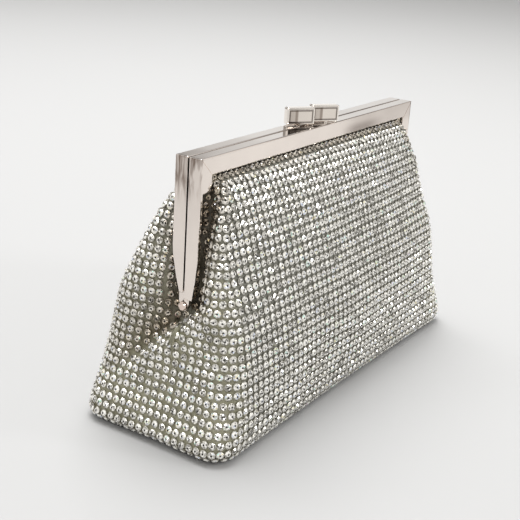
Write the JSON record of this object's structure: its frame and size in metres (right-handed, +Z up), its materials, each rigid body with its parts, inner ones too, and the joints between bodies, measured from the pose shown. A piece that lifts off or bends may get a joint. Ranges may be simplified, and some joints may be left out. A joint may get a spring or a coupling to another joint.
{
  "type": "evening bag",
  "caption": "Framed evening clutch: two hinged metal frame halves with a slanted-bar snap clasp over a deep-based crystal-mesh body.",
  "frame": {"origin": "middle of the bounding box seen from above, on the surface the base stands on", "axes": "+X along the frame, towards the right end seen from the front; +Y towards the rear; +Z up"},
  "size_m": [0.211, 0.0754, 0.1265],
  "materials": {
    "polished_metal": "polished, warm silver plating",
    "strip_metal": "plain drawn strip",
    "crystal_mesh": "faceted crystals in metal cups on a flexible mesh backing",
    "lining_satin": "satin weave",
    "fibre_board": "pressed fibre board"
  },
  "bodies": {
    "bag_body": {"front_lower_mesh": "crystal_mesh", "rear_lower_mesh": "crystal_mesh", "base_mesh": "crystal_mesh", "lower_lining": "lining_satin", "base_board": "fibre_board", "left_hinge_rivet": "polished_metal", "right_hinge_rivet": "polished_metal"},
    "front_half": {"front_frame": "polished_metal", "front_clasp_bar": "polished_metal", "front_retaining_strip": "strip_metal", "front_upper_mesh": "crystal_mesh", "front_upper_lining": "lining_satin"},
    "rear_half": {"rear_frame": "polished_metal", "rear_clasp_bar": "polished_metal", "rear_retaining_strip": "strip_metal", "rear_upper_mesh": "crystal_mesh", "rear_upper_lining": "lining_satin"}
  },
  "joints": [
    {"name": "front_half_hinge", "type": "hinge", "parent": "bag_body", "child": "front_half", "pos_m": [0, -0.0044, 0.057], "axis": [1, 0, 0], "range_deg": [0, 28], "deforming": ["front_upper_mesh", "front_upper_lining"]},
    {"name": "rear_half_hinge", "type": "hinge", "parent": "bag_body", "child": "rear_half", "pos_m": [0, -0.0044, 0.057], "axis": [-1, 0, 0], "range_deg": [0, 28], "deforming": ["rear_upper_mesh", "rear_upper_lining"]}
  ]
}
